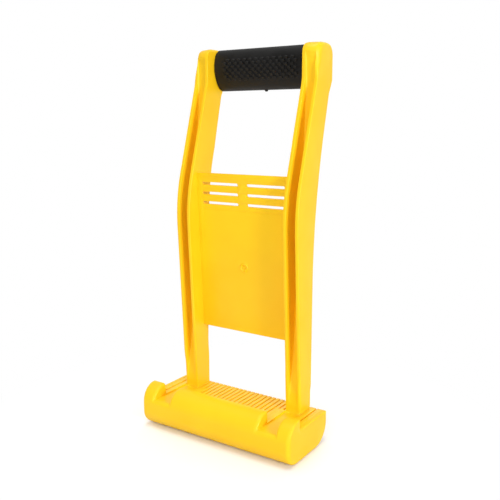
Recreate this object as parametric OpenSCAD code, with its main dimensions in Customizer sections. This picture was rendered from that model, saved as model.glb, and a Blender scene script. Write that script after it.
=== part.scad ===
// Panel carrier: a one-hand carrier for boards and sheets, in yellow plastic with a black rubber grip.
// The lower edge of the board stands in the cradle, and its face leans on the two arms.
// Millimetres, +Z up. The origin is on the ground, under the middle of the cradle.
// The board stands on the -Y side, and the person who carries it walks on the +Y side.

/* [Cradle] */
// Depth of the seat, from the inside of the lip to the back edge of the cradle
seat_depth = 51; // [45:0.5:65]
// Thickness of the lip where it leaves the seat
lip_t = 20; // [20:0.5:30]
// Height of the tread that the board stands on
tread_top = 30.5; // [28:0.5:45]
// Height of the lip above the tread
lip_h = 10.5; // [6:0.5:25]
// Length of the cradle outside each arm
ear_len = 16.5; // [12:0.5:40]
// Round of the lip's outer edge
lip_r = 18; // [6:0.5:18]
// Round of the toe, under the lip
toe_r = 16; // [8:0.5:16]
// Round of the heel, at the carrying side
heel_r = 20.5; // [6:0.5:24]
// Round of the lip's inner edge
lip_edge_r = 1.5; // [0.5:0.1:2]
// Wall of the front and the base
shell_t = 4; // [2.5:0.1:6]
// Thickness of each end wall
end_t = 4; // [2.5:0.1:6]
// Thickness of the floor under the tread
floor_t = 4.5; // [3:0.1:7]
// Thickness of each gusset under the floor
gusset_t = 2.5; // [1.6:0.1:4]
// Round of the gussets' heels, squarer than the ends so that the carrier stands
gusset_r = 4; // [1:0.5:12]
// Number of gussets between the two that carry the arms
inner_gussets = 4; // [2:1:6]

/* [Tread] */
// Height of the tread ribs
tread_h = 1.5; // [0.8:0.1:2.5]
// Distance from rib to rib
tread_pitch = 5; // [4:0.5:8]
// Width of the gap between two ribs
tread_gap = 1.5; // [0.8:0.1:2.5]

/* [Notches] */
// Spread of each notch at the top of the lip, on either side
notch_flare = 4.5; // [0:0.5:8]

/* [Arms] */
// Height over the tops of the arms
total_h = 370; // [340:1:440]
// Clear width between the arms
opening_w = 105; // [90:1:130]
// Width of each arm
arm_w = 16; // [12:0.5:22]
// Thickness of the two flanges of an arm
flange_t = 3.2; // [2.5:0.1:5]
// Thickness of the web between the flanges
web_t = 3; // [2.5:0.1:5]
// Depth of an arm at its foot
foot_depth = 20.4; // [16:0.2:28]
// Distance from the back of an arm to the back edge of the cradle
arm_inset = 0.6; // [0:0.1:3]
// How far the bow of an arm stands in front of its foot
bow_reach = 11; // [4:0.5:14]
// Height of the bow on the board side
bow_h = 225.5; // [190:0.5:250]
// Round of the bow on the board side
bow_r = 150; // [40:5:200]
// Height of the bend on the carrying side
bend_h = 222; // [200:0.5:240]
// Round of the bend on the carrying side
bend_r = 600; // [100:10:650]

/* [Heads] */
// How far the front of a head lies behind the front of its foot
head_set = 22; // [14:0.5:30]
// Depth of a head
head_depth = 29.5; // [26:0.5:36]
// Height of a head at its front
head_h = 33; // [26:0.5:40]
// How far a head stands out behind its arm
head_step = 6; // [3:0.5:9]
// Height of the slope under that step
head_slope = 12; // [6:0.5:16]
// Round of the heads' front top edges
head_front_r = 10; // [3:0.5:13]
// Round of the heads' back top edges
head_back_r = 12; // [3:0.5:13]

/* [Arm grooves] */
// Height of the front groove's lower end above the foot
groove_rise = 8; // [4:0.5:16]
// Height above the foot at which the front groove is already deep
shin_rise = 66.5; // [40:0.5:100]
// Depth of the front groove there
shin_depth = 13; // [6:0.5:16]
// Distance of the front groove's upper bend from the top
knee_drop = 70; // [55:1:90]
// Depth of the front groove in the heads
knee_depth = 1.2; // [0.6:0.1:3]
// Distance of the front groove's upper end from the top
groove_drop = 13; // [11:0.5:20]
// Height of the back groove's lower end above the foot
back_rise = 16; // [8:0.5:24]
// Distance of the back groove's upper end from the top
back_drop = 18; // [13:0.5:24]
// Round in the corners of the back groove
groove_r = 3; // [0.5:0.5:3]

/* [Centre panel] */
// Free height between the tread and the panel
foot_gap = 64.8; // [40:0.2:90]
// Height of the panel
panel_h = 156; // [120:1:170]
// Thickness of the panel
panel_t = 2.8; // [2:0.1:5]
// Distance of the panel's lower edge behind the front of the feet
panel_set = 11.4; // [8:0.2:14]
// Forward lean of the panel, in degrees
panel_lean = 3.1; // [0:0.1:4]
// Width of the solid strip between a slot and the arm
slot_edge = 5.6; // [4:0.1:14]
// Height of each slot
slot_h = 2.8; // [2:0.1:5]
// Distance between the two columns of slots
slot_gap = 9.2; // [6:0.1:14]
// Rows of slots
slot_rows = 3; // [1:1:6]
// Distance from row to row
slot_pitch = 9.4; // [7:0.1:14]
// Distance of the first row from the top of the panel
slot_drop = 10; // [6:0.1:16]

/* [Grip] */
// Height of the grip's oval
grip_h = 39.8; // [32:0.2:46]
// Depth of the grip's oval
grip_d = 24.2; // [20:0.2:32]
// Forward lean of the grip's oval, in degrees
grip_lean = 10; // [0:1:20]
// Distance of the grip's middle behind the front of the heads
grip_set = 23; // [18:0.5:26]
// Distance of the grip's middle from the top
grip_drop = 20; // [16:0.5:26]
// Thickness of the rubber sleeve
sleeve_t = 3.5; // [2:0.1:5]
// Clearance between the sleeve and the bar inside it
sleeve_fit = 0.1; // [0.05:0.05:0.4]
// Wall of the hollow bar
bar_t = 3; // [2:0.1:4]

/* [Hidden] */

YELLOW = [0.99, 0.80, 0.14];
BLACK = [0.13, 0.13, 0.13];

// Largest distance of a faceted arc from the true one
arc_tol = 0.03;
// Most of an edge that the rounds at its two ends may take up
round_share = 0.98;
// Points round an oval
oval_points = 64;
// How far a cut reaches past the faces that it opens
cut = 1;

// Lengths along X
arm_x = opening_w / 2 + arm_w / 2;
cradle_len = opening_w + 2 * arm_w + 2 * ear_len;
inner_len = cradle_len - 2 * end_t;
groove_w = arm_w - 2 * flange_t;
notch_top_w = arm_w + 2 * notch_flare;
slot_len = (opening_w - slot_gap) / 2 - slot_edge;

// Depths along Y
cradle_depth = seat_depth + lip_t;
y_front = -cradle_depth / 2;
y_back = cradle_depth / 2;
y_lip = y_front + lip_t;
y_wall = y_front + shell_t;
y_heel = y_back - heel_r;
y_arm_back = y_back - arm_inset;
y_foot = y_arm_back - foot_depth;
y_bow = y_foot - bow_reach;
y_head = y_foot + head_set;
y_head_back = y_head + head_depth;
y_panel = y_foot + panel_set;
y_grip = y_head + grip_set;
past_front = y_bow - cut;
past_back = y_head_back + cut;

// Heights along Z
lip_top = tread_top + lip_h;
deck = tread_top - tread_h;
floor_low = deck - floor_t;
panel_low = tread_top + foot_gap;
panel_top = panel_low + panel_h;
head_low = total_h - head_h;
grip_z = total_h - grip_drop;
shin_z = deck + shin_rise;
knee_z = total_h - knee_drop;

// Front of the arm at height z, on the straight run below the bow
function arm_front(z) = y_foot - bow_reach * (z - deck) / (bow_h - deck);

// Front of the panel at height z
function panel_front(z) = y_panel - (z - panel_low) * tan(panel_lean);

function unit(v) = v / norm(v);

// Steps that keep an arc of radius r and the given sweep within the tolerance
function arc_steps(r, sweep) = max(2, ceil(abs(sweep) / (2 * acos(1 - arc_tol / r))));

// Half of the angle at the corner b, between its neighbours a and c
function half_angle(a, b, c) = acos(unit(a - b) * unit(c - b)) / 2;

// Arc that rounds the corner b, between its neighbours a and c, at radius r
function corner_arc(a, b, c, r) =
    let (
        to_a = unit(a - b),
        to_c = unit(c - b),
        half = half_angle(a, b, c),
        centre = b + unit(to_a + to_c) * r / sin(half),
        start = b + to_a * r / tan(half) - centre,
        end = b + to_c * r / tan(half) - centre,
        first = atan2(start.y, start.x),
        sweep = (atan2(end.y, end.x) - first + 540) % 360 - 180,
        steps = arc_steps(r, sweep)
    )
    [for (i = [0:steps]) let (angle = first + sweep * i / steps) centre + r * [cos(angle), sin(angle)]];

// Outline through corners given as [y, z, radius], with each round limited by the edges beside it
function rounded(corners) =
    let (
        n = len(corners),
        points = [for (c = corners) [c[0], c[1]]],
        before = [for (i = [0:n - 1]) points[(i + n - 1) % n]],
        after = [for (i = [0:n - 1]) points[(i + 1) % n]],
        reach = [for (i = [0:n - 1]) corners[i][2] / tan(half_angle(before[i], points[i], after[i]))],
        taken = [for (i = [0:n - 1]) (reach[i] + reach[(i + 1) % n]) / norm(after[i] - points[i])],
        fit = [for (t = taken) t > round_share ? round_share / t : 1],
        radius = [for (i = [0:n - 1]) corners[i][2] * min(fit[i], fit[(i + n - 1) % n])]
    )
    [for (i = [0:n - 1])
        each radius[i] > 0 ? corner_arc(before[i], points[i], after[i], radius[i]) : [points[i]]];

// Oval of the grip, drawn in from its outside by the given amount
function oval(inset) =
    [for (i = [0:oval_points - 1])
        let (
            angle = 360 * i / oval_points,
            d = (grip_d / 2 - inset) * cos(angle),
            h = (grip_h / 2 - inset) * sin(angle)
        )
        [y_grip + d * cos(grip_lean) - h * sin(grip_lean), grip_z + d * sin(grip_lean) + h * cos(grip_lean)]];

// Side view of the whole cradle
cradle_outline = rounded([
    [y_front, 0, toe_r],
    [y_back, 0, heel_r],
    [y_back, tread_top, 0],
    [y_lip, tread_top, 0],
    [y_lip, lip_top, lip_edge_r],
    [y_front, lip_top, lip_r]
]);

// Side view of the space inside the cradle, which each gusset fills
cavity_outline = rounded([
    [y_wall, shell_t, toe_r - shell_t],
    [y_heel, shell_t, 0],
    [y_heel, 0, 0],
    [y_back, 0, gusset_r],
    [y_back, floor_low, 0],
    [y_wall, floor_low, 0]
]);

// Side view of an arm with its head
arm_outline = rounded([
    [y_foot, deck, 0],
    [y_arm_back, deck, 0],
    [y_arm_back, bend_h, bend_r],
    [y_head_back - head_step, head_low - head_slope, groove_r],
    [y_head_back, head_low, groove_r],
    [y_head_back, total_h, head_back_r],
    [y_head, total_h, head_front_r],
    [y_head, head_low, groove_r],
    [y_bow, bow_h, bow_r]
]);

// Side view of the groove on the board side, which runs out at both ends
front_groove = [
    [past_front, deck + groove_rise],
    [arm_front(deck + groove_rise), deck + groove_rise],
    [arm_front(shin_z) + shin_depth, shin_z],
    [y_head + knee_depth, knee_z],
    [y_head + knee_depth, head_low],
    [y_head, total_h - groove_drop],
    [past_front, total_h - groove_drop]
];

// Side view of the groove on the carrying side
back_groove = rounded([
    [past_back, deck + back_rise, 0],
    [past_back, total_h - back_drop, 0],
    [y_head + knee_depth + web_t, total_h - back_drop, groove_r],
    [y_head + knee_depth + web_t, knee_z, 0],
    [arm_front(shin_z) + shin_depth + web_t, shin_z, 0],
    [arm_front(deck + back_rise) + web_t, deck + back_rise, groove_r]
]);

// Side view of the centre panel
panel_outline = [
    [panel_front(panel_low), panel_low],
    [panel_front(panel_low) + panel_t, panel_low],
    [panel_front(panel_top) + panel_t, panel_top],
    [panel_front(panel_top), panel_top]
];

// Stretches a side view along X, with the middle of its length at x
module across(length, x = 0) {
    translate([x, 0, 0])
    rotate([90, 0, 90])
    linear_extrude(length, center = true)
    children();
}

// Stretches a front view along Y, through everything
module through() {
    rotate([90, 0, 0])
    linear_extrude(2 * cradle_depth, center = true)
    children();
}

module arm(side) {
    color(YELLOW)
    difference() {
        across(arm_w, side * arm_x) polygon(arm_outline);
        across(groove_w, side * arm_x) polygon(front_groove);
        across(groove_w, side * arm_x) polygon(back_groove);
    }
}

module left_arm() {
    arm(-1);
}

module right_arm() {
    arm(1);
}

// Front view of one slot with round ends
module slot_view() {
    straight = slot_len - slot_h;
    square([straight, slot_h], center = true);
    for (side = [-1, 1])
        translate([side * straight / 2, 0]) circle(d = slot_h, $fn = 24);
}

module centre_panel() {
    slot_x = (slot_gap + slot_len) / 2;
    color(YELLOW)
    difference() {
        across(opening_w) polygon(panel_outline);
        for (row = [0:slot_rows - 1], side = [-1, 1])
            translate([side * slot_x, 0, panel_top - slot_drop - row * slot_pitch])
            through() slot_view();
    }
}

module handle_bar() {
    bar_inset = sleeve_t + sleeve_fit;
    color(YELLOW)
    across(opening_w)
    difference() {
        polygon(oval(bar_inset));
        polygon(oval(bar_inset + bar_t));
    }
}

module grip_sleeve() {
    color(BLACK)
    across(opening_w)
    difference() {
        polygon(oval(0));
        polygon(oval(sleeve_t));
    }
}

// Front wall and base of the cradle, in one curved sheet
module cradle_shell() {
    color(YELLOW)
    across(inner_len)
    difference() {
        intersection() {
            polygon(cradle_outline);
            translate([y_front, 0]) square([y_heel - y_front, deck]);
        }
        polygon(cavity_outline);
        translate([y_wall, floor_low]) square([cradle_depth, floor_t]);
    }
}

// Tells whether a rib in the middle of x to either side stands clear of the arms and the end walls
function rib_fits(x, w) =
    (x + w / 2 <= opening_w / 2 || x - w / 2 >= opening_w / 2 + arm_w) && x + w / 2 <= inner_len / 2;

module cradle_floor() {
    rib_w = tread_pitch - tread_gap;
    ribs = floor(inner_len / 2 / tread_pitch);
    color(YELLOW)
    union() {
        translate([-inner_len / 2, y_wall, floor_low]) cube([inner_len, y_back - y_wall, floor_t]);
        for (i = [0:ribs], side = [-1, 1])
            let (x = (i + 0.5) * tread_pitch)
            if (rib_fits(x, rib_w))
                translate([side * x - rib_w / 2, y_lip, floor_low])
                cube([rib_w, seat_depth, floor_t + tread_h]);
    }
}

module end_wall(side) {
    color(YELLOW)
    across(end_t, side * (cradle_len - end_t) / 2) polygon(cradle_outline);
}

module left_end_wall() {
    end_wall(-1);
}

module right_end_wall() {
    end_wall(1);
}

// Front view of a notch in the lip, in front of an arm
module notch_view() {
    polygon([
        [-arm_w / 2, deck - cut],
        [arm_w / 2, deck - cut],
        [arm_w / 2, deck],
        [notch_top_w / 2, lip_top],
        [notch_top_w / 2, lip_top + cut],
        [-notch_top_w / 2, lip_top + cut],
        [-notch_top_w / 2, lip_top],
        [-arm_w / 2, deck]
    ]);
}

// Stretch of the lip between two places along X, less the notches in front of the arms
module lip(from, to) {
    color(YELLOW)
    difference() {
        across(to - from, (from + to) / 2)
        intersection() {
            polygon(cradle_outline);
            translate([y_front, deck]) square([lip_t, lip_top - deck]);
        }
        for (side = [-1, 1])
            translate([side * arm_x, 0, 0]) through() notch_view();
    }
}

module left_lip() {
    lip(-inner_len / 2, -arm_x);
}

module middle_lip() {
    lip(-arm_x, arm_x);
}

module right_lip() {
    lip(arm_x, inner_len / 2);
}

// Upright plates between the floor and the base, two of them under the arms
module cradle_gussets() {
    spans = inner_gussets + 1;
    color(YELLOW)
    for (i = [0:spans])
        across(gusset_t, arm_x * (2 * i / spans - 1)) polygon(cavity_outline);
}

left_arm();
right_arm();
centre_panel();
handle_bar();
grip_sleeve();
cradle_shell();
cradle_floor();
left_end_wall();
right_end_wall();
left_lip();
middle_lip();
right_lip();
cradle_gussets();
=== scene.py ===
"""Looks of a one-hand board carrier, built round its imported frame.

Sizes in the classes are millimetres in the part's own frame: X along the cradle, -Y towards the
board, Z up from the ground. Meshes are made in metres.
"""

import logging
import math
from collections.abc import Sequence
from dataclasses import dataclass, field
from enum import Enum
from typing import Any

import bmesh
import bpy
import numpy as np
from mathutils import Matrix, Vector


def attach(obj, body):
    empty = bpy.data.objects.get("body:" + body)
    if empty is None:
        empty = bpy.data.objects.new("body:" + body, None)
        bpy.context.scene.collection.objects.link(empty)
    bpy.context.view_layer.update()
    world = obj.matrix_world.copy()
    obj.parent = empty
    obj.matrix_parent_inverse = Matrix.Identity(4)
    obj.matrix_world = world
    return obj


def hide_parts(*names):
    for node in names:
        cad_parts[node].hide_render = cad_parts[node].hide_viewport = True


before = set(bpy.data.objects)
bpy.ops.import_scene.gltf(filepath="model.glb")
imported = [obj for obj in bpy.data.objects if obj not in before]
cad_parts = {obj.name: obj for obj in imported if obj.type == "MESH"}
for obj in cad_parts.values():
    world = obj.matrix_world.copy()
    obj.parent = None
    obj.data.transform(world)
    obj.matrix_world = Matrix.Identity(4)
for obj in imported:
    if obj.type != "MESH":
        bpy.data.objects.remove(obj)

Spot = tuple[float, float]
Corner = tuple[float, float, float]
Colour = tuple[float, float, float, float]

MM = 0.001
QUARTER_TURN = math.pi / 2
WHITE: Colour = (1.0, 1.0, 1.0, 1.0)
# Keeps a division clear of zero.
TINY = 1e-9
# Points closer than this, in metres, become one.
MERGE_M = 2e-6
# Width of the step at the flank of a notch.
SLIVER = 0.001
# Share of an edge that the rounds at its two ends may take.
ROUND_SHARE = 0.98
# An edge that turns further than this keeps its crease in the shading.
SHARP_ANGLE = math.radians(38.0)
BODY = "root"

log = logging.getLogger("carrier")


class Side(Enum):
    """The two sides of the carrier, by the sign of X."""

    LEFT = -1
    RIGHT = 1


class Slot(Enum):
    """The record's material slots."""

    PLASTIC = "frame_plastic"
    RUBBER = "grip_rubber"


class Blend(Enum):
    """What a Mix node blends."""

    NUMBER = "FLOAT"
    COLOUR = "RGBA"


@dataclass(frozen=True)
class Layout:
    """Sizes that more than one sub-assembly uses."""

    arm_x: float = 60.5
    arm_w: float = 16.0
    deck: float = 29.0
    tread_top: float = 30.5
    lip_top: float = 41.0
    total_h: float = 370.0
    inner_len: float = 162.0
    cradle_len: float = 170.0
    y_front: float = -35.5
    y_wall: float = -31.5
    y_lip: float = -15.5
    y_heel: float = 15.0
    y_back: float = 35.5
    base_t: float = 4.0
    floor_low: float = 24.5
    toe_r: float = 16.0
    lip_r: float = 18.0
    lip_edge_r: float = 1.6

    @property
    def inner_x(self) -> float:
        """X of the arms' inner faces."""
        return self.arm_x - self.arm_w / 2


def unit_rows(rows: np.ndarray) -> np.ndarray:
    """Scales each row to length 1 and leaves a row of zeros as it is."""
    return rows / np.maximum(np.linalg.norm(rows, axis=1, keepdims=True), TINY)


def rounded_path(corners: Sequence[Corner], steps: int = 6, closed: bool = True) -> np.ndarray:
    """Rounds the corners of an outline, each at its own radius.

    Rounds that don't fit on the edge between them are drawn in until they do.

    Args:
        corners: Two coordinates and a radius for each corner.
        steps: Facets on each round.
        closed: Whether the last corner joins the first one.

    Returns:
        Rows of two coordinates, steps + 1 of them for each corner.
    """
    rows = np.asarray(corners, float)
    spots, radii = rows[:, :2], rows[:, 2].copy()
    if not closed:
        radii[[0, -1]] = 0.0
    following = np.roll(spots, -1, axis=0)
    back = unit_rows(np.roll(spots, 1, axis=0) - spots)
    ahead = unit_rows(following - spots)
    half = np.arccos(np.clip((back * ahead).sum(axis=1), -1.0, 1.0)) / 2
    reach = radii / np.maximum(np.tan(half), TINY)
    edges = np.linalg.norm(following - spots, axis=1)
    fits = ROUND_SHARE * edges / np.maximum(reach + np.roll(reach, -1), TINY)
    scale = np.minimum(1.0, np.minimum(fits, np.roll(fits, 1)))
    depth = radii * scale / np.maximum(np.sin(half), TINY)
    centre = spots + unit_rows(back + ahead) * depth[:, None]
    start = spots + back * (reach * scale)[:, None] - centre
    end = spots + ahead * (reach * scale)[:, None] - centre
    cross = start[:, 0] * end[:, 1] - start[:, 1] * end[:, 0]
    turn = np.arctan2(cross, (start * end).sum(axis=1))[:, None] * np.linspace(0, 1, steps + 1)
    cos, sin = np.cos(turn), np.sin(turn)
    across = centre[:, :1] + start[:, :1] * cos - start[:, 1:] * sin
    along = centre[:, 1:] + start[:, :1] * sin + start[:, 1:] * cos
    return np.stack([across, along], axis=-1).reshape(-1, 2)


def arc_drop(distance: np.ndarray | float, radius: float) -> np.ndarray:
    """How far a round of that radius falls away at a distance past its start."""
    reach = np.clip(distance, 0.0, radius)
    return radius - np.sqrt(radius * radius - reach * reach)


def graded(height: float, table: Sequence[Spot]) -> float:
    """Reads the value at a height from rows of height and value."""
    return float(np.interp(height, *zip(*table)))


def slow_start(count: int) -> np.ndarray:
    """Shares from 0 to 1 that lie closer together near 0."""
    return 1 - np.cos(np.linspace(0, QUARTER_TURN, count))


def slow_end(count: int) -> np.ndarray:
    """Shares from 0 to 1 that lie closer together near 1."""
    return np.sin(np.linspace(0, QUARTER_TURN, count))


def full_turn(facets: int) -> np.ndarray:
    """Angles of evenly spaced points on a circle."""
    return np.linspace(0, 2 * math.pi, facets, endpoint=False)


class Profile:
    """A depth in Y that follows the height along a path with rounded corners."""

    def __init__(self, corners: Sequence[Corner], steps: int = 16) -> None:
        """Keeps the rounded path.

        Args:
            corners: Depth, height and radius of each corner, from the bottom up.
            steps: Facets on each round.
        """
        path = rounded_path(corners, steps, closed=False)
        self.depths, self.heights = path[:, 0], path[:, 1]

    def at(self, height: float) -> float:
        """The depth at a height."""
        return float(np.interp(height, self.heights, self.depths))


def clean_mesh(mesh: bpy.types.Mesh) -> None:
    """Merges doubles, turns the faces outwards and shades the mesh smooth, with creases kept.

    Args:
        mesh: The mesh.
    """
    shape = bmesh.new()
    shape.from_mesh(mesh)
    bmesh.ops.remove_doubles(shape, verts=shape.verts, dist=MERGE_M)
    bmesh.ops.dissolve_degenerate(shape, edges=shape.edges, dist=MERGE_M)
    bmesh.ops.recalc_face_normals(shape, faces=shape.faces)
    shape.to_mesh(mesh)
    shape.free()
    mesh.shade_smooth()
    mesh.set_sharp_from_angle(angle=SHARP_ANGLE)


def put(name: str, data: bpy.types.ID) -> bpy.types.Object:
    """Puts a mesh, a lamp or a camera in the scene.

    Args:
        name: Name of the object.
        data: What it holds.

    Returns:
        The object.
    """
    thing = bpy.data.objects.new(name, data)
    bpy.context.scene.collection.objects.link(thing)
    return thing


def show(name: str, mesh: bpy.types.Mesh, finish: bpy.types.Material) -> bpy.types.Object:
    """Puts a mesh in the scene as a piece with that name and finish."""
    mesh.materials.append(finish)
    return put(name, mesh)


def settle(piece: bpy.types.Object, modifier: bpy.types.Modifier) -> bpy.types.Mesh:
    """Gives a piece what its modifier makes of it as a plain mesh.

    Args:
        piece: The piece.
        modifier: Its modifier, which is then removed.

    Returns:
        The new mesh.
    """
    made = piece.evaluated_get(bpy.context.evaluated_depsgraph_get())
    mesh = bpy.data.meshes.new_from_object(made)
    piece.modifiers.remove(modifier)
    piece.data = mesh
    return mesh


def skin_mesh(name: str, rings: Sequence[np.ndarray], looped: bool = False) -> bpy.types.Mesh:
    """Joins rings of points into one closed skin.

    Args:
        name: Name of the mesh.
        rings: Closed rings with the same number of points, in millimetres.
        looped: Whether the last ring joins the first one. Otherwise both ends get a cap.

    Returns:
        The mesh, cleaned.
    """
    count, size = len(rings), len(rings[0])
    spans = count if looped else count - 1
    faces: list[list[int]] = []
    for i in range(spans):
        low, high = i * size, (i + 1) % count * size
        for j in range(size):
            k = (j + 1) % size
            faces.append([low + j, low + k, high + k, high + j])
    if not looped:
        faces += [list(range(size)), list(range((count - 1) * size, count * size))]
    mesh = bpy.data.meshes.new(name)
    mesh.from_pydata((np.concatenate(rings) * MM).tolist(), [], faces)
    clean_mesh(mesh)
    return mesh


def along_x(outline: np.ndarray, x: float) -> np.ndarray:
    """Places an outline of (y, z) rows at one X."""
    return np.column_stack([np.full(len(outline), x), outline])


def slab_mesh(name: str, outline: np.ndarray, half: float) -> bpy.types.Mesh:
    """Makes a slab of one outline of (y, z) rows, from -half to half along X."""
    return skin_mesh(name, [along_x(outline, -half), along_x(outline, half)])


def turned_mesh(name: str, profile: Sequence[Spot], centre: np.ndarray, axis: np.ndarray,
                facets: int) -> bpy.types.Mesh:
    """Turns a profile about an axis in the YZ plane, for small round marks.

    Args:
        name: Name of the mesh.
        profile: Radius and height of each point, from the outer edge to the middle.
        centre: Foot of the axis.
        axis: Direction that the height is measured in.
        facets: Points on each ring.

    Returns:
        The mesh, cleaned.
    """
    side = np.array([1.0, 0.0, 0.0])
    up = np.cross(axis, side)
    angles = full_turn(facets)[:, None]
    spokes = np.cos(angles) * side + np.sin(angles) * up
    return skin_mesh(name, [centre + out * spokes + height * axis for out, height in profile])


class Wiring:
    """Adds nodes to a node tree and joins them."""

    def __init__(self, tree: bpy.types.NodeTree) -> None:
        """Keeps the tree."""
        self.tree = tree

    @classmethod
    def of(cls, owner: bpy.types.Material | bpy.types.World) -> "Wiring":
        """Starts the tree of a material or a world afresh.

        Args:
            owner: The material or world.

        Returns:
            The wiring of its empty tree.
        """
        owner.use_nodes = True
        owner.node_tree.nodes.clear()
        return cls(owner.node_tree)

    def add(self, kind: str, sockets: dict[str | int, Any] | None = None,
            **settings: Any) -> bpy.types.Node:
        """Adds one node.

        Args:
            kind: Blender's name for the type of node.
            sockets: Value of an input, or the output that feeds it, by name or number.
            settings: Properties of the node itself.

        Returns:
            The node.
        """
        node = self.tree.nodes.new(kind)
        for key, value in settings.items():
            setattr(node, key, value)
        for key, value in (sockets or {}).items():
            if isinstance(value, bpy.types.NodeSocket):
                self.tree.links.new(value, node.inputs[key])
            else:
                node.inputs[key].default_value = value
        return node

    def out(self, kind: str, sockets: dict[str | int, Any] | None = None,
            **settings: Any) -> bpy.types.NodeSocket:
        """Adds one node, as add does, and gives its first output."""
        return self.add(kind, sockets, **settings).outputs[0]

    def math(self, operation: str, *values: Any) -> bpy.types.NodeSocket:
        """Adds a Math node and gives its output."""
        return self.out("ShaderNodeMath", dict(enumerate(values)), operation=operation)

    def vector(self, x: Any = 0.0, y: Any = 0.0, z: Any = 0.0) -> bpy.types.NodeSocket:
        """Joins three numbers into a vector and gives its output."""
        return self.out("ShaderNodeCombineXYZ", {"X": x, "Y": y, "Z": z})

    def mix(self, share: Any, low: Any, high: Any,
            kind: Blend = Blend.NUMBER) -> bpy.types.NodeSocket:
        """Blends from one number or colour to another by a share, and gives the output."""
        sockets = {"Factor": share, "A": low, "B": high}
        return self.add("ShaderNodeMix", sockets, data_type=kind.value).outputs["Result"]

    def join(self, *parts: bpy.types.NodeSocket) -> bpy.types.NodeSocket:
        """Joins several geometries into one.

        Args:
            parts: The outputs that they come from, in order.

        Returns:
            The output with all of them.
        """
        node = self.add("GeometryNodeJoinGeometry")
        for part in parts:
            self.tree.links.new(part, node.inputs[0])
        return node.outputs[0]

    def moved(self, geometry: bpy.types.NodeSocket, place: Any = (0.0, 0.0, 0.0),
              turn: Any = (0.0, 0.0, 0.0)) -> bpy.types.NodeSocket:
        """Turns a geometry, moves it and gives the output."""
        return self.out("GeometryNodeTransform", {
            "Geometry": geometry, "Translation": place, "Rotation": turn})


class Recipe:
    """A Geometry Nodes tree with named sizes, run once to make a plain mesh."""

    def __init__(self, name: str, sizes: dict[str, float | int]) -> None:
        """Starts the tree.

        Args:
            name: Name of the tree.
            sizes: Value of each input by name: metres, radians or a whole number.
        """
        self.sizes = sizes
        self.tree = bpy.data.node_groups.new(name, "GeometryNodeTree")
        self.wire = Wiring(self.tree)
        face = self.tree.interface
        face.new_socket("Geometry", in_out="INPUT", socket_type="NodeSocketGeometry")
        for label, value in sizes.items():
            kind = "NodeSocketInt" if isinstance(value, int) else "NodeSocketFloat"
            face.new_socket(label, in_out="INPUT", socket_type=kind)
        face.new_socket("Geometry", in_out="OUTPUT", socket_type="NodeSocketGeometry")
        self.inputs = self.wire.add("NodeGroupInput").outputs

    def close(self, geometry: bpy.types.NodeSocket, finish: bpy.types.Material) -> None:
        """Ends the tree with real geometry in one finish.

        Args:
            geometry: The output to end with.
            finish: The finish.
        """
        real = self.wire.out("GeometryNodeRealizeInstances", {"Geometry": geometry})
        dressed = self.wire.out("GeometryNodeSetMaterial", {"Geometry": real, "Material": finish})
        self.wire.add("NodeGroupOutput", {0: dressed})

    def run(self, name: str, seed: bpy.types.Mesh | None = None) -> bpy.types.Object:
        """Runs the tree.

        Args:
            name: Name of the piece.
            seed: Mesh that goes in, where the tree repeats one.

        Returns:
            The piece, with a plain mesh and no modifier.
        """
        piece = put(name, seed or bpy.data.meshes.new(name))
        modifier = piece.modifiers.new("recipe", "NODES")
        modifier.node_group = self.tree
        for item in self.tree.interface.items_tree:
            if item.in_out == "INPUT" and item.name in self.sizes:
                modifier[item.identifier] = self.sizes[item.name]
        settle(piece, modifier).name = name
        return piece


def row_recipe(name: str, count: int, pitch: float, finish: bpy.types.Material) -> Recipe:
    """Makes a tree that repeats the mesh it is given along X, evenly about the middle.

    Args:
        name: Name of the tree.
        count: Places in the row.
        pitch: Distance between places.
        finish: Finish of the copies.

    Returns:
        The tree, closed.
    """
    recipe = Recipe(name, {"Count": count, "Pitch": pitch * MM})
    wire, size = recipe.wire, recipe.inputs
    half = wire.math("MULTIPLY", wire.math("SUBTRACT", size["Count"], 1.0), -0.5)
    row = wire.out("GeometryNodeMeshLine", {
        "Count": size["Count"],
        "Start Location": wire.vector(wire.math("MULTIPLY", half, size["Pitch"])),
        "Offset": wire.vector(size["Pitch"])})
    copies = wire.out("GeometryNodeInstanceOnPoints",
                      {"Points": row, "Instance": size["Geometry"]})
    recipe.close(copies, finish)
    return recipe


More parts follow.
